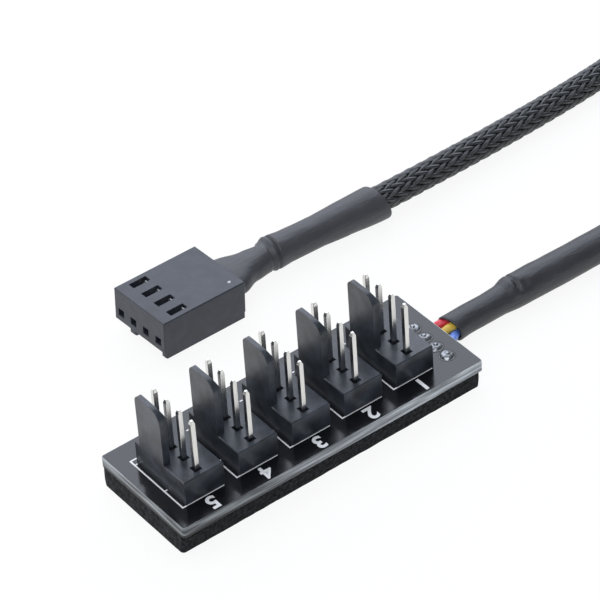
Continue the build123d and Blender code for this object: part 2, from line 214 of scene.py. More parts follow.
def along(points):
    """Distance of each point along a line from its start."""
    distances = [0.0]
    for a, b in zip(points, points[1:]):
        distances.append(distances[-1] + (b - a).length)
    return distances


def carried(points):
    """Side and top direction at each point of a line, carried along it without twist."""
    tops = []
    top = Vector((0, 0, 1))
    for i in range(len(points)):
        ahead = (points[min(i + 1, len(points) - 1)] - points[max(i - 1, 0)]).normalized()
        top = (top - ahead * top.dot(ahead)).normalized()
        tops.append((ahead.cross(top), top.copy()))
    return tops


distances = along(route)
directions = carried(route)
sleeve_length = distances[-1]


def on_route(distance):
    """Middle, side and top of the lead at a distance along the route."""
    low, high = 0, len(distances) - 1
    while high - low > 1:
        middle = (low + high) // 2
        if distances[middle] <= distance:
            low = middle
        else:
            high = middle
    share = min(max((distance - distances[low]) / (distances[high] - distances[low]), 0), 1)
    side = directions[low][0].lerp(directions[high][0], share)
    top = directions[low][1].lerp(directions[high][1], share)
    return route[low].lerp(route[high], share), side, top


def phase(number, way, distance):
    """How many times a bundle has gone over and under the others, at a distance along the sleeve."""
    return (2 * number + way * distance / (WEAVE_REPEAT / 2) - 0.5) / 4


def bundle(bm, uv, number, way):
    """One flat bundle of threads, wound one way round the sleeve and waving over and under the others."""
    steps = int(sleeve_length / WEAVE_REPEAT * STEPS_A_REPEAT)
    made = bmesh.ops.create_grid(bm, x_segments=steps, y_segments=4, size=1)
    flat = {vertex: (vertex.co.x / 2 + 0.5, vertex.co.y) for vertex in made["verts"]}
    pitch = WEAVE_REPEAT * BUNDLES
    stations = {}
    for vertex, (share, across) in flat.items():
        if share not in stations:
            distance = share * sleeve_length
            wander = WANDER * noise.noise(Vector((distance / WANDER_LENGTH, number * 3.1, way)))
            angle = math.tau * (way * distance / pitch + number / BUNDLES) + wander
            middle, side, top = on_route(distance)
            outward = side * math.cos(angle) + top * math.sin(angle)
            round_it = (top * math.cos(angle) - side * math.sin(angle)) * way
            ahead = side.cross(top) * -1
            slope = math.tau * WEAVE_RADIUS / pitch
            width = (round_it - ahead * slope).normalized()
            on_top = way * math.cos(math.tau * phase(number, way, distance))
            rise = WEAVE_RISE * math.tanh(DIVE * on_top)
            spread = BUNDLE_WIDTH / 2 * (1 + WIDER_ON_TOP * on_top)
            stations[share] = (middle + outward * (WEAVE_RADIUS + rise), outward, width * spread)
        centre, outward, half_width = stations[share]
        height = CROWN * (1 - CROWN_FALL * abs(across) ** CROWN_POWER)
        vertex.co = centre + half_width * across + outward * height
    for face in {face for vertex in flat for face in vertex.link_faces}:
        for corner in face.loops:
            share, across = flat[corner.vert]
            turns = phase(number, way, share * sleeve_length)
            corner[uv].uv = (across / 2 + 0.5, turns + (0.5 if way < 0 else 0))
        outward = stations[flat[face.verts[0]][0]][1]
        face.normal_update()
        if face.normal.dot(outward) < 0:
            face.normal_flip()


# Polyester thread, drawn through a die: smooth, with a soft shine along each thread. Painted shade darkens
# the grooves between the threads, and turns a bundle nearly black where it dips under the others.
thread, tree, place = material("polyester_thread")
lanes = add(tree, "ShaderNodeUVMap", uv_map="lanes").outputs[0]
split = add(tree, "ShaderNodeSeparateXYZ", {0: lanes})
lane = add(tree, "ShaderNodeMath", {0: split.outputs[0], 1: math.tau * THREADS}, operation="MULTIPLY")
ridge = add(tree, "ShaderNodeMath", {0: lane.outputs[0]}, operation="COSINE")
ridge = add(tree, "ShaderNodeMapRange", {0: ridge.outputs[0], 1: -1.0, 2: 1.0, 3: 1.0, 4: 0.0})
tone = add(tree, "ShaderNodeTexNoise", {"Vector": place, "Scale": 1000 / 2.0, "Detail": 3.0})
shade = add(tree, "ShaderNodeMix", {0: tone.outputs[0], 6: colour("#2c2e31"), 7: colour("#515559")},
            data_type="RGBA")
# Painted shade: darker in the grooves between the threads and along the edges of each bundle.
groove_shade = add(tree, "ShaderNodeMix", {0: ridge.outputs[0], 6: colour("#1d1f21"), 7: shade.outputs[2]},
          data_type="RGBA")
# Painted shade: nearly black where a bundle dips under the others, its own grey where it lies on top.
turn = add(tree, "ShaderNodeMath", {0: split.outputs[1], 1: math.tau}, operation="MULTIPLY")
over = add(tree, "ShaderNodeMath", {0: turn.outputs[0]}, operation="COSINE")
over = add(tree, "ShaderNodeMapRange", {0: over.outputs[0], 1: 0.0, 2: 0.95})
ink_wear_and_under_shade = add(tree, "ShaderNodeMix", {0: over.outputs[0], 6: colour("#090a0b"), 7: groove_shade.outputs[2]},
           data_type="RGBA")
bump = add(tree, "ShaderNodeBump", {"Strength": 0.5, "Distance": 0.00005, "Height": ridge.outputs[0]})
shader = add(tree, "ShaderNodeBsdfPrincipled",
             {"Base Color": ink_wear_and_under_shade.outputs[2], "Roughness": 0.32, "IOR": 1.57, "Normal": bump.outputs[0]})
add(tree, "ShaderNodeOutputMaterial", {"Surface": shader.outputs[0]})

bm = bmesh.new()
uv = bm.loops.layers.uv.new("lanes")
for number in range(BUNDLES):
    bundle(bm, uv, number, 1)
    bundle(bm, uv, number, -1)
weave = into(bm, "sleeve_weave", [thread], smooth=True)
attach(weave, "root")
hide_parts("braided_sleeve")

# The wires inside the braid, as one tube, all that shows between the bundles: matt, and nearly black as
# painted shade, for it is seen only in the shadowed gaps.
painted_shade_core, tree, place = material("wire_core_painted_shade")
grain = add(tree, "ShaderNodeTexNoise", {"Vector": place, "Scale": 1000 / 0.8, "Detail": 2.0})
shade = add(tree, "ShaderNodeMix", {0: grain.outputs[0], 6: colour("#08090a"), 7: colour("#121315")},
            data_type="RGBA")
shader = add(tree, "ShaderNodeBsdfPrincipled", {"Base Color": shade.outputs[2], "Roughness": 0.6})
add(tree, "ShaderNodeOutputMaterial", {"Surface": shader.outputs[0]})
core = spline("sleeve_core", ROUTE, radius=1.45, resolution=16)
core.data.materials.append(painted_shade_core)
bpy.context.collection.objects.link(core)
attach(core, "root")

# Wires: four thin copper wires in coloured PVC. They leave their joints under the board side by side, gather
# to a square bundle at the mouth of the sleeve, and part again inside the other sleeve to their terminals.
JOINT_X, JOINT_YS = 20.5, (2.0, -0.3, -2.6, -4.9)
BOARD_TOP = 4.6
BOARD_BUNDLE = Vector((26.2, *ROUTE[0][1:]))
SLEEVE_START = Vector(ROUTE[0])
NECK = Vector((16.1, 27.45, 2.85))
PLUG = (Matrix.Translation((8.75, 27.38, 0)) @ Matrix.Rotation(math.radians(2.8), 4, "Z")
        @ Matrix.Rotation(math.radians(3.0), 4, "Y"))
TERMINAL_X, REAR_X, SOCKET_Z = -6.1, -0.2, 2.45
STRIPPED_X = 21.4
conductors = []
for joint_y, (name, code, height, socket_y, bunch, at_edge, at_mouth) in zip(JOINT_YS, (
        ("red", "#d63e4c", 2.31, 3.81, (0.66, 0.56), (2.35, 2.42), (2.05, 2.85)),
        ("yellow", "#cdac42", 2.35, 1.27, (-0.52, 0.66), (0.75, 2.42), (0.62, 2.85)),
        ("blue", "#6686d2", 2.25, -3.81, (-0.78, -0.5), (-1.1, 2.3), (-0.45, 2.25)),
        ("black", "#141516", 0.75, -1.27, (0.4, -0.62), (-1.3, 0.8), (0.5, 1.2)))):
    bunched = Vector((0, *bunch))
    gathered = BOARD_BUNDLE + bunched
    at_board = [(STRIPPED_X, joint_y, height), (22.7, joint_y + 0.4 * (at_edge[0] - joint_y), height),
                (24.2, *at_edge), (25.2, *at_mouth), gathered, gathered + Vector((1.6, 0, 0)),
                SLEEVE_START + bunched]
    at_plug = [PLUG @ Vector((TERMINAL_X, socket_y, SOCKET_Z)), PLUG @ Vector((REAR_X, socket_y, SOCKET_Z)),
               PLUG @ Vector((1.6, 0.62 * socket_y, 2.9)), NECK + bunched, Vector(ROUTE[-1]) + bunched]
    # PVC, extruded round the copper: a smooth skin with a soft shine, in a dye that is not quite even.
    insulation, tree, place = material("pvc_" + name)
    grain = add(tree, "ShaderNodeTexNoise", {"Vector": place, "Scale": 1000 / 1.5, "Detail": 3.0})
    dye = colour(code)
    pale = [min(1, channel * 1.25) for channel in dye[:3]] + [1.0]
    shade = add(tree, "ShaderNodeMix", {0: grain.outputs[0], 6: dye, 7: pale}, data_type="RGBA")
    shader = add(tree, "ShaderNodeBsdfPrincipled",
                 {"Base Color": shade.outputs[2], "Roughness": 0.3, "IOR": 1.53})
    add(tree, "ShaderNodeOutputMaterial", {"Surface": shader.outputs[0]})
    wire = spline("insulated_wire_" + name, at_board, at_plug, radius=0.59, resolution=12)
    wire.data.materials.append(insulation)
    bpy.context.collection.objects.link(wire)
    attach(wire, "root")
    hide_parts("wire_" + name)
    conductors.append([(JOINT_X, joint_y, BOARD_TOP), (JOINT_X, joint_y, height),
                       (STRIPPED_X + 0.6, joint_y, height)])

# Where a wire is stripped, its tinned copper goes up through the board into the joint: a bright, slightly
# yellow metal, uneven with the lay of its strands.
tinned, tree, place = material("tinned_copper")
lay = add(tree, "ShaderNodeTexNoise", {"Vector": place, "Scale": 1000 / 0.3, "Detail": 2.0})
bump = add(tree, "ShaderNodeBump", {"Strength": 0.4, "Distance": 0.00003, "Height": lay.outputs[0]})
shader = add(tree, "ShaderNodeBsdfPrincipled", {"Base Color": colour("#c9c2b6"), "Metallic": 1.0,
                                                "Roughness": 0.3, "Normal": bump.outputs[0]})
add(tree, "ShaderNodeOutputMaterial", {"Surface": shader.outputs[0]})
strands = spline("bare_conductors", *conductors, radius=0.25, resolution=8)
strands.data.materials.append(tinned)
bpy.context.collection.objects.link(strands)
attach(strands, "root")

# Heat-shrink sleeves: black polyolefin tube, shrunk in hot air onto the wires and over the end of the braid,
# so that it shows a soft step where the braid begins, and a crease beside it. It is satin and cloudy, with
# fine wrinkles along it, and greyer and duller at the connector.
finishes = {}
for end, dark, light, low, high in (("board", "#2b2c2f", "#3b3c40", 0.38, 0.5),
                                    ("connector", "#38393c", "#4a4b4f", 0.4, 0.52)):
    shrink, tree, place = material("shrunk_polyolefin_at_" + end)
    cloudy = add(tree, "ShaderNodeTexNoise", {"Vector": place, "Scale": 1000 / 5.0, "Detail": 4.0})
    shade = add(tree, "ShaderNodeMix", {0: cloudy.outputs[0], 6: colour(dark), 7: colour(light)},
                data_type="RGBA")
    stretched = add(tree, "ShaderNodeMapping", {"Vector": place, "Scale": (0.3, 1.0, 1.0)})
    drawn = add(tree, "ShaderNodeTexNoise",
                {"Vector": stretched.outputs[0], "Scale": 1000 / 0.5, "Detail": 5.0})
    bump = add(tree, "ShaderNodeBump", {"Strength": 0.8, "Distance": 0.0001, "Height": drawn.outputs[0]})
    rough = add(tree, "ShaderNodeMapRange", {0: cloudy.outputs[0], 3: low, 4: high})
    shader = add(tree, "ShaderNodeBsdfPrincipled",
                 {"Base Color": shade.outputs[2], "Roughness": rough.outputs[0], "IOR": 1.5,
                  "Normal": bump.outputs[0]})
    add(tree, "ShaderNodeOutputMaterial", {"Surface": shader.outputs[0]})
    finishes[end] = shrink


def shrunk(name, finish, stations, relief):
    """Tube through stations of middle, half width, half height and flatness, with a relief on its surface."""
    bm = bmesh.new()
    made = bmesh.ops.create_grid(bm, x_segments=len(stations) - 1, y_segments=96, size=1)
    for vertex in made["verts"]:
        x, y, z, half_y, half_z, flat = stations[round((vertex.co.x / 2 + 0.5) * (len(stations) - 1))]
        angle = vertex.co.y * math.pi
        c, s = math.cos(angle), math.sin(angle)
        power = 1 / (1 + flat)
        ahead, out = relief(x, angle)
        vertex.co = (x + ahead, y + math.copysign(abs(c) ** power, c) * (half_y + out),
                     z + math.copysign(abs(s) ** power, s) * (half_z + out))
    bmesh.ops.remove_doubles(bm, verts=bm.verts, dist=1e-5)
    bmesh.ops.recalc_face_normals(bm, faces=bm.faces)
    tube = into(bm, name, [finish], smooth=True)
    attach(tube, "root")
    return tube


def filled_in(keys, step):
    """Stations at even steps between the key ones, eased in and out where the width changes most."""
    stations = []
    for a, b in zip(keys, keys[1:]):
        count = max(1, round(abs(b[0] - a[0]) / step))
        for i in range(count):
            part = i / count
            t = part * part * (3 - 2 * part) if abs(b[3] - a[3]) > 0.2 else part
            stations.append([a[0] + part * (b[0] - a[0])] + [p + t * (q - p) for p, q in zip(a[1:], b[1:])])
    return stations + [list(keys[-1])]


def between(table, x):
    """Value at x in a table of pairs, straight between them and level beyond its ends."""
    for (x0, value0), (x1, value1) in zip(table, table[1:]):
        if x < x1:
            return value0 + (value1 - value0) * max(x - x0, 0) / (x1 - x0)
    return table[-1][1]


def hill(x, middle, width):
    """Rounded hill of height 1 at its middle."""
    return math.exp(-((x - middle) / width) ** 2)


def turned(angle, degrees):
    """Angle from a direction round the tube, in degrees from -180 to 180."""
    return (math.degrees(angle) - degrees + 180) % 360 - 180


def facing(angle, degrees, reach, blur):
    """1 on the side of the tube that faces a direction, and 0 beyond its reach to both sides."""
    return 1 / (1 + math.exp((abs(turned(angle, degrees)) - reach) / blur))


SLANT_DIRECTION = 45


def slanted(angle, depth, from_mouth, reach):
    """Shift along the tube that slants its mouth, full at the mouth and gone at its reach."""
    share = max(0, 1 - max(from_mouth, 0) / reach)
    return -depth * math.cos(math.radians(turned(angle, SLANT_DIRECTION))) * share


def hollows(x, angle):
    """Faint hollows, drawn out along the tube."""
    return max(0, noise.noise(Vector((x * 0.3, math.cos(angle) * 1.6, math.sin(angle) * 1.6))))


# The one at the board: its slanting open mouth shows the wires. The end of the braid lifts it to a shoulder
# on its back, with creases beside it towards the printed edge, and lets it grow slowly on its other side.
# Both rises are pairs of x and height. A crease has depth, x and width, then direction and reach round it.
SHOULDER = [(26.0, -0.07), (28.6, 0.0), (31.8, -0.05), (33.9, 0.06), (34.55, 0.14), (35.0, 0.32),
            (35.45, 0.5), (36.0, 0.61), (36.6, 0.61), (37.6, 0.54), (40.3, 0.57), (42.0, 0.49), (46.0, 0.41),
            (57.0, 0.38)]
SLOPE = [(26.0, 0.2), (27.8, 0.06), (33.9, 0.05), (34.9, 0.14), (36.1, 0.25), (37.4, 0.3), (40.0, 0.31),
         (43.0, 0.38), (57.0, 0.41)]
CREASES = [(0.5, 36.3, 0.42, 116, 25), (0.2, 36.35, 0.22, 70, 40), (0.26, 37.2, 0.8, 126, 20)]
BOARD_MOUTH_X = 25.7


def board_relief(x, angle):
    """How far the surface is shifted along and outwards at a place on the sleeve at the board."""
    back = facing(angle, 70, reach=62, blur=12)
    out = back * between(SHOULDER, x) + (1 - back) * between(SLOPE, x)
    for depth, middle, width, direction, reach in CREASES:
        out -= depth * hill(x, middle, width) * hill(turned(angle, direction), 0, reach)
    out -= 0.07 * hollows(x, angle)
    return slanted(angle, depth=0.55, from_mouth=x - BOARD_MOUTH_X, reach=2.5), out


def on_axis(x, radius):
    """Round station of the sleeve at the board, in line with the start of the route."""
    return [x, *ROUTE[0][1:], radius, radius, 0]


NARROW = 1.87
mouth = [on_axis(x, radius)
         for x, radius in ((29.0, 1.5), (25.75, 1.6), (BOARD_MOUTH_X, 1.68), (25.72, 1.79))]
outside = []
for start, end, step in ((25.85, 33.0, 0.4), (33.3, 39.0, 0.12), (39.4, 56.8, 0.4)):
    outside += filled_in([on_axis(start, NARROW), on_axis(end, NARROW)], step)
tail = [on_axis(x, radius) for x, radius in ((56.95, 1.82), (57.0, 1.7), (56.95, 1.56), (54.5, 1.5))]
board_shrink = shrunk("shrink_at_board", finishes["board"], mouth + outside + tail, board_relief)
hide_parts("board_end_heat_shrink")

# The one at the connector: flat behind the housing, where the wires lie side by side, then a round neck and
# a bead over the braid's end, with a sharp groove on its near side. Its wide end stands open round the braid.
flat_start = PLUG @ Vector((-0.1, 0, 2.9))
waist = PLUG @ Vector((1.6, 0, 2.9))
sleeve_way = (Vector(ROUTE[-2]) - Vector(ROUTE[-1])) / (ROUTE[-2][0] - ROUTE[-1][0])
GROOVE_X, BEAD_X, PLUG_MOUTH_X = 17.66, 18.15, 34.6


def on_sleeve(x, radius):
    """Round station of the sleeve at the connector, on the straight end of the route."""
    return [*(Vector(ROUTE[-1]) + sleeve_way * (x - ROUTE[-1][0])), radius, radius, 0]


def plug_relief(x, angle):
    """How far the surface is shifted along and outwards at a place on the sleeve at the connector."""
    groove_x = GROOVE_X - 0.15 * math.sin(math.radians(turned(angle, 90)))
    out = -0.45 * hill(x, groove_x, 0.2) * facing(angle, 140, reach=80, blur=10)
    out += 0.05 * hill(x, BEAD_X, 0.16) * hill(turned(angle, 105), 0, 40)
    out -= 0.06 * hollows(x, angle)
    return slanted(angle, depth=0.7, from_mouth=PLUG_MOUTH_X - x, reach=3), out


outside = filled_in([(*flat_start, 4.9, 1.62, 0.35), (*waist, 3.45, 1.78, 0.25),
                     (13.6, 27.46, 2.87, 2.35, 1.9, 0.1), (*NECK, 2.0, 2.0, 0)], 0.3)
for step, keys in ((0.08, ((16.4, 2.04), (17.45, 2.46), (18.1, 2.41), (19.2, 2.29))),
                   (0.4, ((19.6, 2.25), (25.0, 2.2), (28.5, 2.4), (34.45, 2.63)))):
    outside += filled_in([on_sleeve(x, radius) for x, radius in keys], step)
tail = [on_sleeve(x, radius)
        for x, radius in ((34.57, 2.6), (PLUG_MOUTH_X, 2.5), (34.55, 2.37), (33.4, 2.16), (31.0, 1.95))]
plug_shrink = shrunk("shrink_at_connector", finishes["connector"], outside + tail, plug_relief)
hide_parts("connector_end_heat_shrink")

# Board: glass-fibre laminate under a glossy black lacquer, sheared to size, with its cut edges left pale.
# It replaces the plain slab, because lacquer and cut edge are two finishes on one piece.
BOARD = (46.5, 17.2, 1.6)
BOARD_BOTTOM = 3.0

# Solder mask, a lacquer cured on the board: glossy black, with a slow swell from the copper below it.
lacquer, tree, place = material("black_solder_mask")
swell = add(tree, "ShaderNodeTexNoise", {"Vector": place, "Scale": 1000 / 6.0, "Detail": 2.0})
bump = add(tree, "ShaderNodeBump", {"Strength": 0.12, "Distance": 0.0001, "Height": swell.outputs[0]})
dust = add(tree, "ShaderNodeTexNoise", {"Vector": place, "Scale": 1000 / 1.2, "Detail": 6.0})
rough = add(tree, "ShaderNodeMapRange", {0: dust.outputs[0], 3: 0.1, 4: 0.22})
shade = add(tree, "ShaderNodeMix", {0: swell.outputs[0], 6: colour("#0b0c0e"), 7: colour("#131518")},
            data_type="RGBA")
shader = add(tree, "ShaderNodeBsdfPrincipled",
             {"Base Color": shade.outputs[2], "Roughness": rough.outputs[0], "IOR": 1.58,
              "Normal": bump.outputs[0]})
add(tree, "ShaderNodeOutputMaterial", {"Surface": shader.outputs[0]})

# Glass-fibre laminate, sheared: pale layers of fibre, with painted shade that darkens it towards the end away
# from the lead.
cut_edge, tree, place = material("cut_glass_fibre")
layered = add(tree, "ShaderNodeMapping", {"Vector": place, "Scale": (0.06, 0.06, 1.0)})
fibre = add(tree, "ShaderNodeTexNoise", {"Vector": layered.outputs[0], "Scale": 1000 / 0.55, "Detail": 3.0})
layers = add(tree, "ShaderNodeMapRange", {0: fibre.outputs[0], 1: 0.42, 2: 0.68})
# Painted shade: the end away from the lead, which faces away from the light, is drawn darker.
shaded_end_laminate = add(tree, "ShaderNodeMix", {0: layers.outputs[0], 6: colour("#3c4043"), 7: colour("#aaafb1")},
              data_type="RGBA")
unshaded_laminate = add(tree, "ShaderNodeMix", {0: layers.outputs[0], 6: colour("#7f8487"), 7: colour("#dfe3e5")},
            data_type="RGBA")
spot = add(tree, "ShaderNodeSeparateXYZ", {0: place})
share = add(tree, "ShaderNodeMapRange", {0: spot.outputs[0], 1: -21 * MM, 2: 20 * MM})
laminate = add(tree, "ShaderNodeMix", {0: share.outputs[0], 6: shaded_end_laminate.outputs[2], 7: unshaded_laminate.outputs[2]},
               data_type="RGBA")
# Painted shade: the lowest quarter of the edge, where it meets the pad, is nearly black at the end away from
# the lead.
above = add(tree, "ShaderNodeMapRange", {0: spot.outputs[2], 1: (BOARD_BOTTOM + 0.36) * MM,
                                         2: (BOARD_BOTTOM + 0.5) * MM})
free = add(tree, "ShaderNodeMapRange", {0: spot.outputs[0], 1: -16 * MM, 2: 4 * MM})
outside_join_shade = add(tree, "ShaderNodeMath", {0: above.outputs[0], 1: free.outputs[0]}, operation="MAXIMUM")
shade = add(tree, "ShaderNodeMix", {0: outside_join_shade.outputs[0], 6: colour("#121314"), 7: laminate.outputs[2]},
            data_type="RGBA")
bump = add(tree, "ShaderNodeBump", {"Strength": 0.3, "Distance": 0.00005, "Height": fibre.outputs[0]})
shader = add(tree, "ShaderNodeBsdfPrincipled", {"Base Color": shade.outputs[2], "Roughness": 0.45,
                                                "Normal": bump.outputs[0]})
add(tree, "ShaderNodeOutputMaterial", {"Surface": shader.outputs[0]})


def slab(size, bottom, corner):
    """Bmesh of a plate with rounded upright corners, its side faces marked with the second material."""
    bm = bmesh.new()
    bmesh.ops.create_cube(bm, size=1)
    bmesh.ops.scale(bm, vec=size, verts=bm.verts)
    bmesh.ops.translate(bm, vec=(0, 0, bottom + size[2] / 2), verts=bm.verts)
    upright = [e for e in bm.edges if abs(e.verts[0].co.z - e.verts[1].co.z) > size[2] / 2]
    bmesh.ops.bevel(bm, geom=upright, offset=corner, offset_type="OFFSET", affect="EDGES", segments=8,
                    profile=0.5, material=-1)
    for face in bm.faces:
        face.material_index = 0 if abs(face.normal.z) > 0.5 else 1
    return bm


bm = slab(BOARD, BOARD_BOTTOM, corner=0.4)
# The narrow rounding along the top edge takes the pale cut-edge finish: a painted highlight along the edge.
rim = [e for e in bm.edges if len({f.material_index for f in e.link_faces}) == 2]
bmesh.ops.bevel(bm, geom=rim, offset=0.09, offset_type="OFFSET", affect="EDGES", segments=2, profile=0.5,
                material=1)
board = into(bm, "laminate", [lacquer, cut_edge])
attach(board, "root")
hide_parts("circuit_board")

# Print: white ink, screened on the lacquer: an outline round two sides of each header, with a hook and two
# ticks, and the header's number in front of it.
FIRST_HEADER_X, HEADER_STEP = 14.68, 8.12
HEADER_XS = [FIRST_HEADER_X - HEADER_STEP * i for i in range(5)]
INK = 0.02
LINE, TICK_LINE = 0.2, 0.16
LEFT_OF_HEADER, LONG_SIDE, HOOK, TICK = 3.35, 6.28, 1.0, 0.55
OUTLINE_FRONT, OUTLINE_BACK, TICK_YS = -5.6, 5.45, (-1.69, 4.45)
NUMBER_Y = -6.95

# Screen ink: matt white, a little thin in places.
ink, tree, place = material("white_screen_ink")
ink_wear_and_under_shade = add(tree, "ShaderNodeTexNoise", {"Vector": place, "Scale": 1000 / 0.35, "Detail": 4.0})
shade = add(tree, "ShaderNodeMix", {0: ink_wear_and_under_shade.outputs[0], 6: colour("#d9dadb"), 7: colour("#fbfbfa")},
            data_type="RGBA")
shader = add(tree, "ShaderNodeBsdfPrincipled", {"Base Color": shade.outputs[2], "Roughness": 0.5})
add(tree, "ShaderNodeOutputMaterial", {"Surface": shader.outputs[0]})


def bar(bm, x0, x1, y0, y1):
    """One printed line, as a thin block on the board."""
    made = bmesh.ops.create_cube(bm, size=1)
    bmesh.ops.scale(bm, vec=(x1 - x0, y1 - y0, INK), verts=made["verts"])
    bmesh.ops.translate(bm, vec=((x0 + x1) / 2, (y0 + y1) / 2, BOARD_TOP + INK / 2), verts=made["verts"])


bm = bmesh.new()
for x in HEADER_XS:
    left = x - LEFT_OF_HEADER
    bar(bm, left, left + LONG_SIDE, OUTLINE_FRONT, OUTLINE_FRONT + LINE)
    bar(bm, left, left + LINE, OUTLINE_FRONT + LINE, OUTLINE_BACK)
    bar(bm, left + LINE, left + HOOK, OUTLINE_BACK - LINE, OUTLINE_BACK)
    for tick in TICK_YS:
        bar(bm, left + LINE, left + TICK, tick - TICK_LINE / 2, tick + TICK_LINE / 2)
lines = into(bm, "printed_outlines", [ink])
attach(lines, "root")
for number, x in enumerate(HEADER_XS, 1):
    text = bpy.data.curves.new("figure", "FONT")
    text.body = str(number)
    text.size = 3.1
    text.extrude = INK / 2
    text.offset = 0.085
    text.align_x = "CENTER"
    text.align_y = "CENTER"
    written = bpy.data.objects.new("figure", text)
    mesh = bpy.data.meshes.new_from_object(written)
    bpy.data.objects.remove(written)
    mesh.transform(Matrix.Scale(MM, 4) @ Matrix.Translation((x + 0.05, NUMBER_Y, BOARD_TOP + INK / 2))
                   @ Matrix.Rotation(math.pi, 4, "Z"))
    mesh.materials.clear()
    mesh.materials.append(ink)
    figure = bpy.data.objects.new("printed_number_%d" % number, mesh)
    bpy.context.collection.objects.link(figure)
    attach(figure, "root")

# Foam pad: black closed-cell foam with glue on both faces, die-cut a little narrower than the board and stuck
# on flush with its back. Its cut sides are open pores, and they bulge slightly under the board.
PAD = (46.5, 16.6, 3.0)
PAD_SHIFT = 0.3
BULGE, UNEVEN = 0.1, 0.07
SIDE_ZONE = 0.55

# Closed-cell foam, die-cut: matt black and blotched, with a pore every 0.2 mm or so.
foam, tree, place = material("closed_cell_foam")
cells = add(tree, "ShaderNodeTexVoronoi", {"Vector": place, "Scale": 1000 / 0.22})
blotch = add(tree, "ShaderNodeTexNoise", {"Vector": place, "Scale": 1000 / 0.5, "Detail": 5.0})
grey = add(tree, "ShaderNodeMapRange", {0: blotch.outputs[0], 1: 0.35, 2: 0.68})
shade = add(tree, "ShaderNodeMix", {0: grey.outputs[0], 6: colour("#0d0e0f"), 7: colour("#383a3c")},
            data_type="RGBA")
bump = add(tree, "ShaderNodeBump",
           {"Strength": 0.9, "Distance": 0.00012, "Height": cells.outputs["Distance"]})
shader = add(tree, "ShaderNodeBsdfPrincipled", {"Base Color": shade.outputs[2], "Roughness": 0.95,
                                                "Specular IOR Level": 0.25, "Normal": bump.outputs[0]})
add(tree, "ShaderNodeOutputMaterial", {"Surface": shader.outputs[0]})
bm = slab(PAD, 0.0, corner=0.5)
for direction, cuts in (((1, 0, 0), range(-22, 23)), ((0, 1, 0), range(-7, 8)),
                        ((0, 0, 1), (0.25, 0.9, 1.5, 2.1, 2.75))):
    for at in cuts:
        everything = bm.verts[:] + bm.edges[:] + bm.faces[:]
        bmesh.ops.bisect_plane(bm, geom=everything, plane_co=Vector(direction) * at, plane_no=direction)
half_x, half_y, half_z = [side / 2 for side in PAD]
for vertex in bm.verts:
    x, y, z = vertex.co
    inward = BULGE * ((z - half_z) / half_z) ** 2 + UNEVEN * (noise.noise(Vector((x, y, z)) * 0.7) + 0.5)
    vertex.co.x -= math.copysign(0.3 * inward, x) if abs(x) > half_x - SIDE_ZONE else 0
    vertex.co.y += PAD_SHIFT - (math.copysign(inward, y) if abs(y) > half_y - SIDE_ZONE else 0)
pad = into(bm, "foam", [foam])


def cut_away(piece, boxes):
    """Cuts boxes, each given by its limits in millimetres, out of a piece."""
    bm = bmesh.new()
    for x0, x1, y0, y1, z0, z1 in boxes:
        made = bmesh.ops.create_cube(bm, size=1)
        bmesh.ops.scale(bm, vec=(x1 - x0, y1 - y0, z1 - z0), verts=made["verts"])
        bmesh.ops.translate(bm, vec=((x0 + x1) / 2, (y0 + y1) / 2, (z0 + z1) / 2), verts=made["verts"])
    knife = into(bm, "knife", [])
    cutting = piece.modifiers.new("cut", "BOOLEAN")
    cutting.object = knife
    cutting.operation = "DIFFERENCE"
    cutting.solver = "EXACT"
    result = bpy.data.meshes.new_from_object(piece.evaluated_get(bpy.context.evaluated_depsgraph_get()))
    piece.modifiers.clear()
    piece.data = result
    bpy.data.objects.remove(knife)


# A slot takes the solder under each header, and a notch lets the wires out.
SLOT_WIDTH = 2.4
slots = [(x - SLOT_WIDTH / 2, x + SLOT_WIDTH / 2, -5.41, 4.61, 1.2, 3.1) for x in HEADER_XS]
notch = (18.95, 24.0, -6.2, 4.2, -0.1, 3.1)
cut_away(pad, slots + [notch])
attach(pad, "root")
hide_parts("foam_pad")

# Joints of the wires: each conductor comes up through the board and is soldered by hand to a tinned ring, so
# the solder is uneven, with a bright cap and a little flux round it.
RING = 1.02
OUTLINE = [(1.13, -0.02), (1.12, 0.02), (RING, 0.02), (0.98, 0.0), (0.93, 0.06), (0.8, 0.19), (0.62, 0.3),
           (0.42, 0.38), (0.3, 0.42), (0.24, 0.52), (0.12, 0.56), (0.0, 0.56)]
UNROUND, UNEVEN_TOP, LUMPS = 0.16, 0.08, 0.07

# Tin solder that set by itself: a bright grey metal with soft lumps.
solder, tree, place = material("tin_solder")
lumps = add(tree, "ShaderNodeTexNoise", {"Vector": place, "Scale": 1000 / 0.5, "Detail": 3.0})
shade = add(tree, "ShaderNodeMix", {0: lumps.outputs[0], 6: colour("#5d6064"), 7: colour("#b0b3b5")},
            data_type="RGBA")
bump = add(tree, "ShaderNodeBump", {"Strength": 0.5, "Distance": 0.00008, "Height": lumps.outputs[0]})
shader = add(tree, "ShaderNodeBsdfPrincipled", {"Base Color": shade.outputs[2], "Metallic": 1.0,
                                                "Roughness": 0.3, "Normal": bump.outputs[0]})
add(tree, "ShaderNodeOutputMaterial", {"Surface": shader.outputs[0]})

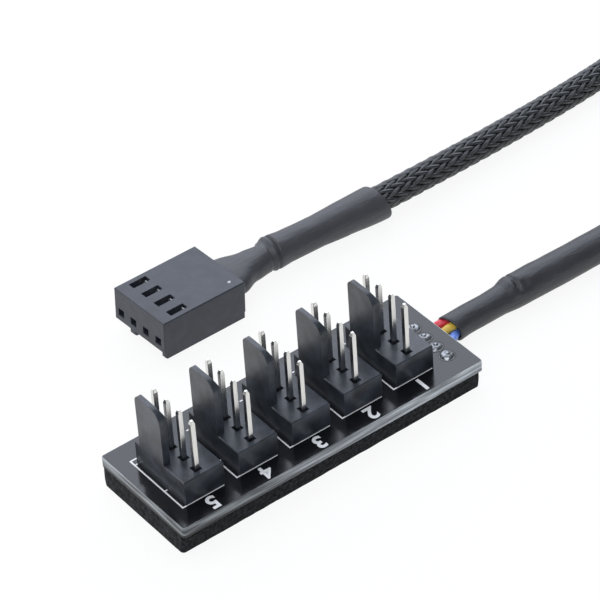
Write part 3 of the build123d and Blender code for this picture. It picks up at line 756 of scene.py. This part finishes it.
# Flux, baked by the iron: a dark, glassy film.
flux, tree, place = material("dark_flux_residue")
stain = add(tree, "ShaderNodeTexNoise", {"Vector": place, "Scale": 1000 / 0.6, "Detail": 3.0})
shade = add(tree, "ShaderNodeMix", {0: stain.outputs[0], 6: colour("#0d0e0f"), 7: colour("#26241f")},
            data_type="RGBA")
shader = add(tree, "ShaderNodeBsdfPrincipled", {"Base Color": shade.outputs[2], "Roughness": 0.35})
add(tree, "ShaderNodeOutputMaterial", {"Surface": shader.outputs[0]})
for number, joint_y in enumerate(JOINT_YS, 1):
    bm = bmesh.new()
    profile = [bm.verts.new((radius, 0, BOARD_TOP + height)) for radius, height in OUTLINE]
    edges = [bm.edges.new(pair) for pair in zip(profile, profile[1:])]
    bmesh.ops.spin(bm, geom=profile + edges, axis=(0, 0, 1), cent=(0, 0, 0), steps=40, angle=math.tau,
                   use_merge=True)
    bmesh.ops.remove_doubles(bm, verts=bm.verts, dist=1e-4)
    for face in bm.faces:
        face.material_index = 1 if face.calc_center_median().xy.length > RING - 0.03 else 0
    for vertex in bm.verts:
        x, y, z = vertex.co
        uneven = noise.noise(Vector((x * 0.9, y * 0.9, number * 5.0)))
        lumpy = noise.noise(Vector((x * 2.2, y * 2.2, number * 9.0)))
        lift = min(max(z - BOARD_TOP - 0.03, 0) / 0.2, 1)
        vertex.co = (x * (1 + UNROUND * uneven) + JOINT_X, y * (1 + UNROUND * uneven) + joint_y,
                     z + lift * (LUMPS * lumpy + UNEVEN_TOP * uneven))
    bmesh.ops.recalc_face_normals(bm, faces=bm.faces)
    joint = into(bm, "wire_solder_%d" % number, [solder, flux], smooth=True)
    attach(joint, "root")
    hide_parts("wire_joint_%d" % number)


def coat(piece, finish):
    """Gives a piece of the CAD its material."""
    piece.data.materials.clear()
    piece.data.materials.append(finish)


for number in range(1, 6):
    coat(nodes["header_%d_solder" % number], solder)


# Headers: black glass-filled nylon, moulded in one piece, with a fine satin surface and edges that the mould
# rounds slightly. The solids have their true form, so they stay and get their finish and rounded edges.
def rounded_edges(piece, width):
    """Small rounding on the sharp edges of a solid, with its flat faces kept flat in the light."""
    joined = piece.modifiers.new("join", "WELD")
    joined.merge_threshold = 1e-6
    edge = piece.modifiers.new("edge", "BEVEL")
    edge.width = width * MM
    edge.segments = 2
    edge.limit_method = "ANGLE"
    edge.angle_limit = math.radians(40)
    weighted = piece.modifiers.new("flat", "WEIGHTED_NORMAL")
    weighted.keep_sharp = True


def moulded(name, dark, light, rough_low, rough_high, grain_mm, strength, sink_mm):
    """Moulded nylon: satin, in a dye that is not quite even, on faces that sank a little as they cooled.

    The grain that the mould leaves is drawn coarser than it is, so that it shows.
    """
    made, tree, place = material(name)
    dye = add(tree, "ShaderNodeTexNoise", {"Vector": place, "Scale": 1000 / 2.0, "Detail": 3.0})
    tint = add(tree, "ShaderNodeMapRange", {0: dye.outputs[0], 1: 0.3, 2: 0.7})
    shade = add(tree, "ShaderNodeMix", {0: tint.outputs[0], 6: colour(dark), 7: colour(light)},
                data_type="RGBA")
    grain = add(tree, "ShaderNodeTexNoise", {"Vector": place, "Scale": 1000 / grain_mm, "Detail": 3.0})
    rough = add(tree, "ShaderNodeMapRange", {0: grain.outputs[0], 3: rough_low, 4: rough_high})
    sunk = add(tree, "ShaderNodeTexNoise", {"Vector": place, "Scale": 1000 / 2.2, "Detail": 1.0})
    sink = add(tree, "ShaderNodeBump", {"Strength": 0.5, "Distance": sink_mm * MM, "Height": sunk.outputs[0]})
    bump = add(tree, "ShaderNodeBump", {"Strength": strength, "Distance": 0.00004, "Height": grain.outputs[0],
                                        "Normal": sink.outputs[0]})
    shader = add(tree, "ShaderNodeBsdfPrincipled",
                 {"Base Color": shade.outputs[2], "Roughness": rough.outputs[0], "IOR": 1.53,
                  "Normal": bump.outputs[0]})
    add(tree, "ShaderNodeOutputMaterial", {"Surface": shader.outputs[0]})
    return made


header_nylon = moulded("glass_filled_nylon", "#1f2328", "#3c4149", rough_low=0.24, rough_high=0.4,
                       grain_mm=0.3, strength=0.3, sink_mm=0.1)

# Pins: square brass wire, drawn, plated with tin and pressed into the housings. It is a bright metal with
# fine marks along it, drawn here coarser than they are, so that they show. The terminals are plated alike.
tin_pin, tree, place = material("tin_plated_brass")
stretched = add(tree, "ShaderNodeMapping", {"Vector": place, "Scale": (1.0, 1.0, 0.08)})
drawn = add(tree, "ShaderNodeTexNoise", {"Vector": stretched.outputs[0], "Scale": 1000 / 0.12, "Detail": 3.0})
shade = add(tree, "ShaderNodeMix", {0: drawn.outputs[0], 6: colour("#c9c9c6"), 7: colour("#ecebe8")},
            data_type="RGBA")
bump = add(tree, "ShaderNodeBump", {"Strength": 0.25, "Distance": 0.00003, "Height": drawn.outputs[0]})
shader = add(tree, "ShaderNodeBsdfPrincipled", {"Base Color": shade.outputs[2], "Metallic": 1.0,
                                                "Roughness": 0.2, "Normal": bump.outputs[0]})
add(tree, "ShaderNodeOutputMaterial", {"Surface": shader.outputs[0]})
for number in range(1, 6):
    housing = nodes["header_%d_housing" % number]
    coat(housing, header_nylon)
    rounded_edges(housing, 0.1)
    for pin in range(1, 5):
        post = nodes["header_%d_pin_%d" % (number, pin)]
        coat(post, tin_pin)
        rounded_edges(post, 0.05)

# Connector: four sockets in dark grey nylon, with a window over each terminal and two ribs below. A small
# mark near the rear of its top is coloured pale, as a painted glint. Tin-plated terminals show in the
# windows.
connector_nylon = moulded("dark_grey_nylon", "#272b33", "#323741", rough_low=0.4, rough_high=0.52,
                          grain_mm=0.3, strength=0.4, sink_mm=0.08)
connector = nodes["connector_housing"]
coat(connector, connector_nylon)
rounded_edges(connector, 0.02)
terminals = [nodes["crimp_terminal_%d" % i] for i in range(1, 5)]
for terminal in terminals:
    coat(terminal, tin_pin)
GLINT_SPOT = Matrix.Translation((-1.57, -3.83, 5.89))
bm = bmesh.new()
bmesh.ops.create_cone(bm, cap_ends=True, segments=20, radius1=0.3, radius2=0.2, depth=0.08)
bmesh.ops.scale(bm, vec=(1, 0.8, 1), verts=bm.verts)
for vertex in bm.verts:
    if vertex.co.z > 0:
        vertex.co.z += 0.03 * noise.noise(vertex.co * 4)
bmesh.ops.transform(bm, matrix=PLUG @ GLINT_SPOT, verts=bm.verts)
bmesh.ops.recalc_face_normals(bm, faces=bm.faces)

# Painted glint: the small mark is pale and flecked, where the light glints on the connector's top.
glint_paint, tree, place = material("painted_glint_nylon")
flecks = add(tree, "ShaderNodeTexNoise", {"Vector": place, "Scale": 1000 / 0.3, "Detail": 3.0})
shade = add(tree, "ShaderNodeMix", {0: flecks.outputs[0], 6: colour("#6f737c"), 7: colour("#e4e7ec")},
            data_type="RGBA")
shader = add(tree, "ShaderNodeBsdfPrincipled", {"Base Color": shade.outputs[2], "Roughness": 0.4})
add(tree, "ShaderNodeOutputMaterial", {"Surface": shader.outputs[0]})
glint_spot = into(bm, "glint_spot_mark", [glint_paint])
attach(glint_spot, "root")
